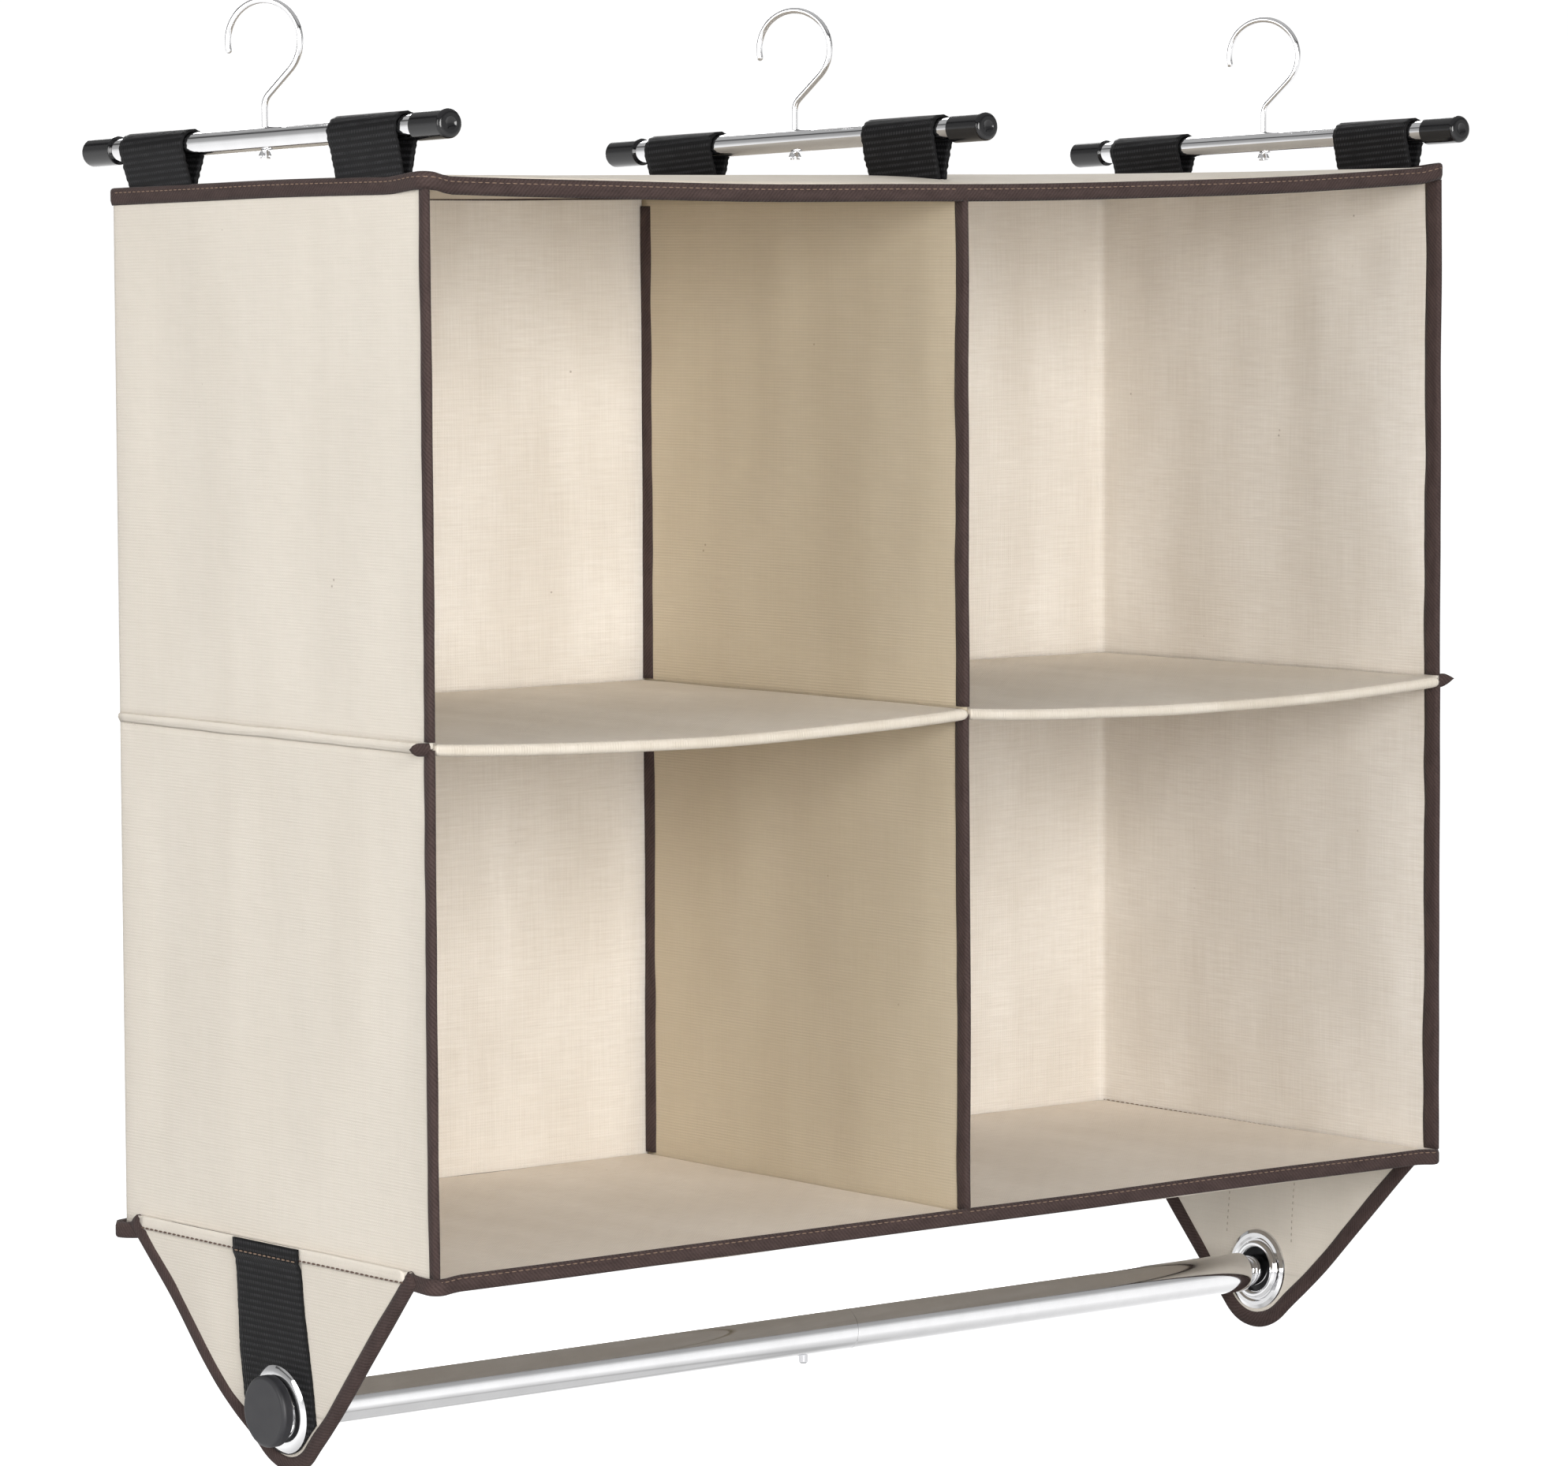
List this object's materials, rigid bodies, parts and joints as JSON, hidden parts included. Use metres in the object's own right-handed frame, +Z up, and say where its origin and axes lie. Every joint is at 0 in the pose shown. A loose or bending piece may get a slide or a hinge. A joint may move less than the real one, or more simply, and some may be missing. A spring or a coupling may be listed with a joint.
{
  "type": "hanging shoe organizer",
  "caption": "Hanging fabric organizer: an open-fronted case of cells, webbing loops over hanger bars with swivel hooks, and a chrome garment rod on tabs below.",
  "frame": {"origin": "centre of the middle hook's round seat, where the closet rod passes through", "axes": "+Z up, -Y out of the open front, +X to the right seen from the front, along the closet rod and the garment rod"},
  "size_m": [0.706, 0.3172, 0.7472],
  "materials": {
    "canvas": "undyed slub canvas",
    "binding_tape": "dark brown twill tape",
    "webbing": "black ribbed webbing",
    "stiff_board": "raw fibreboard",
    "chrome": "polished chrome plate",
    "spring_steel": "bright steel",
    "black_gloss_plastic": "gloss black",
    "black_satin_plastic": "satin black"
  },
  "bodies": {
    "case": {"left_side_upper": "canvas", "right_side_upper": "canvas", "back_upper": "canvas", "divider_upper": "canvas", "left_front_binding_upper": "binding_tape", "right_front_binding_upper": "binding_tape", "divider_front_binding_upper": "binding_tape", "divider_rear_binding_upper": "binding_tape", "top_sleeve": "canvas", "top_board": "stiff_board", "top_binding": "binding_tape", "loop_left_front": "webbing", "loop_left_rear": "webbing", "loop_middle_front": "webbing", "loop_middle_rear": "webbing", "loop_right_front": "webbing", "loop_right_rear": "webbing"},
    "shelves": {"shelf_left_sleeve": "canvas", "shelf_left_board": "stiff_board", "shelf_right_sleeve": "canvas", "shelf_right_board": "stiff_board", "shelf_seam_welts": "canvas", "shelf_tape_ends": "binding_tape", "left_side_lower": "canvas", "right_side_lower": "canvas", "back_lower": "canvas", "divider_lower": "canvas", "left_front_binding_lower": "binding_tape", "right_front_binding_lower": "binding_tape", "divider_front_binding_lower": "binding_tape", "divider_rear_binding_lower": "binding_tape"},
    "base": {"floor_left_sleeve": "canvas", "floor_left_board": "stiff_board", "floor_right_sleeve": "canvas", "floor_right_board": "stiff_board", "floor_binding": "binding_tape", "tab_left": "canvas", "tab_right": "canvas", "tab_bindings": "binding_tape", "tab_straps": "webbing", "grommets": "chrome", "grommet_washers": "chrome"},
    "rod": {"rod_tube_left": "chrome", "rod_cap_left": "black_satin_plastic", "rod_tube_right": "chrome", "rod_cap_right": "black_satin_plastic", "snap_spring": "spring_steel"},
    "snap_button": {"snap_button": "spring_steel"},
    "bar_left": {"hanger_bar_left": "chrome", "bar_caps_left": "black_gloss_plastic"},
    "bar_middle": {"hanger_bar_middle": "chrome", "bar_caps_middle": "black_gloss_plastic"},
    "bar_right": {"hanger_bar_right": "chrome", "bar_caps_right": "black_gloss_plastic"},
    "hook_left": {"hook_left": "chrome", "hook_collar_left": "chrome"},
    "hook_middle": {"hook_middle": "chrome", "hook_collar_middle": "chrome"},
    "hook_right": {"hook_right": "chrome", "hook_collar_right": "chrome"}
  },
  "joints": [
    {"name": "shelf_fold", "type": "slide", "parent": "case", "child": "shelves", "axis": [0, 0, 1], "range_m": [0, 0.25], "deforming": ["left_side_upper", "right_side_upper", "back_upper", "divider_upper", "left_front_binding_upper", "right_front_binding_upper", "divider_front_binding_upper", "divider_rear_binding_upper"]},
    {"name": "floor_fold", "type": "slide", "parent": "shelves", "child": "base", "axis": [0, 0, 1], "range_m": [0, 0.244], "deforming": ["left_side_lower", "right_side_lower", "back_lower", "divider_lower", "left_front_binding_lower", "right_front_binding_lower", "divider_front_binding_lower", "divider_rear_binding_lower"]},
    {"name": "garment_rod_roll", "type": "hinge", "parent": "base", "child": "rod", "pos_m": [0, 0, -0.692], "axis": [1, 0, 0], "continuous": true},
    {"name": "snap_button_press", "type": "slide", "parent": "rod", "child": "snap_button", "axis": [0, 0, 1], "range_m": [0, 0.0055], "stiffness_N_per_m": 800, "springref_m": -0.002, "deforming": ["snap_spring"]},
    {"name": "bar_left_roll", "type": "hinge", "parent": "case", "child": "bar_left", "pos_m": [-0.341, 0, -0.0485], "axis": [0, -0.9994, 0.0349], "range_deg": [-90, 140]},
    {"name": "hook_left_swivel", "type": "hinge", "parent": "bar_left", "child": "hook_left", "pos_m": [-0.341, 0, -0.0485], "axis": [0, 0, 1], "continuous": true},
    {"name": "bar_middle_roll", "type": "hinge", "parent": "case", "child": "bar_middle", "pos_m": [0, 0, -0.0485], "axis": [0, -0.9994, 0.0349], "range_deg": [-90, 90]},
    {"name": "hook_middle_swivel", "type": "hinge", "parent": "bar_middle", "child": "hook_middle", "pos_m": [0, 0, -0.0485], "axis": [0, 0, 1], "continuous": true},
    {"name": "bar_right_roll", "type": "hinge", "parent": "case", "child": "bar_right", "pos_m": [0.341, 0, -0.0485], "axis": [0, -0.9994, 0.0349], "range_deg": [-140, 90]},
    {"name": "hook_right_swivel", "type": "hinge", "parent": "bar_right", "child": "hook_right", "pos_m": [0.341, 0, -0.0485], "axis": [0, 0, 1], "continuous": true}
  ]
}
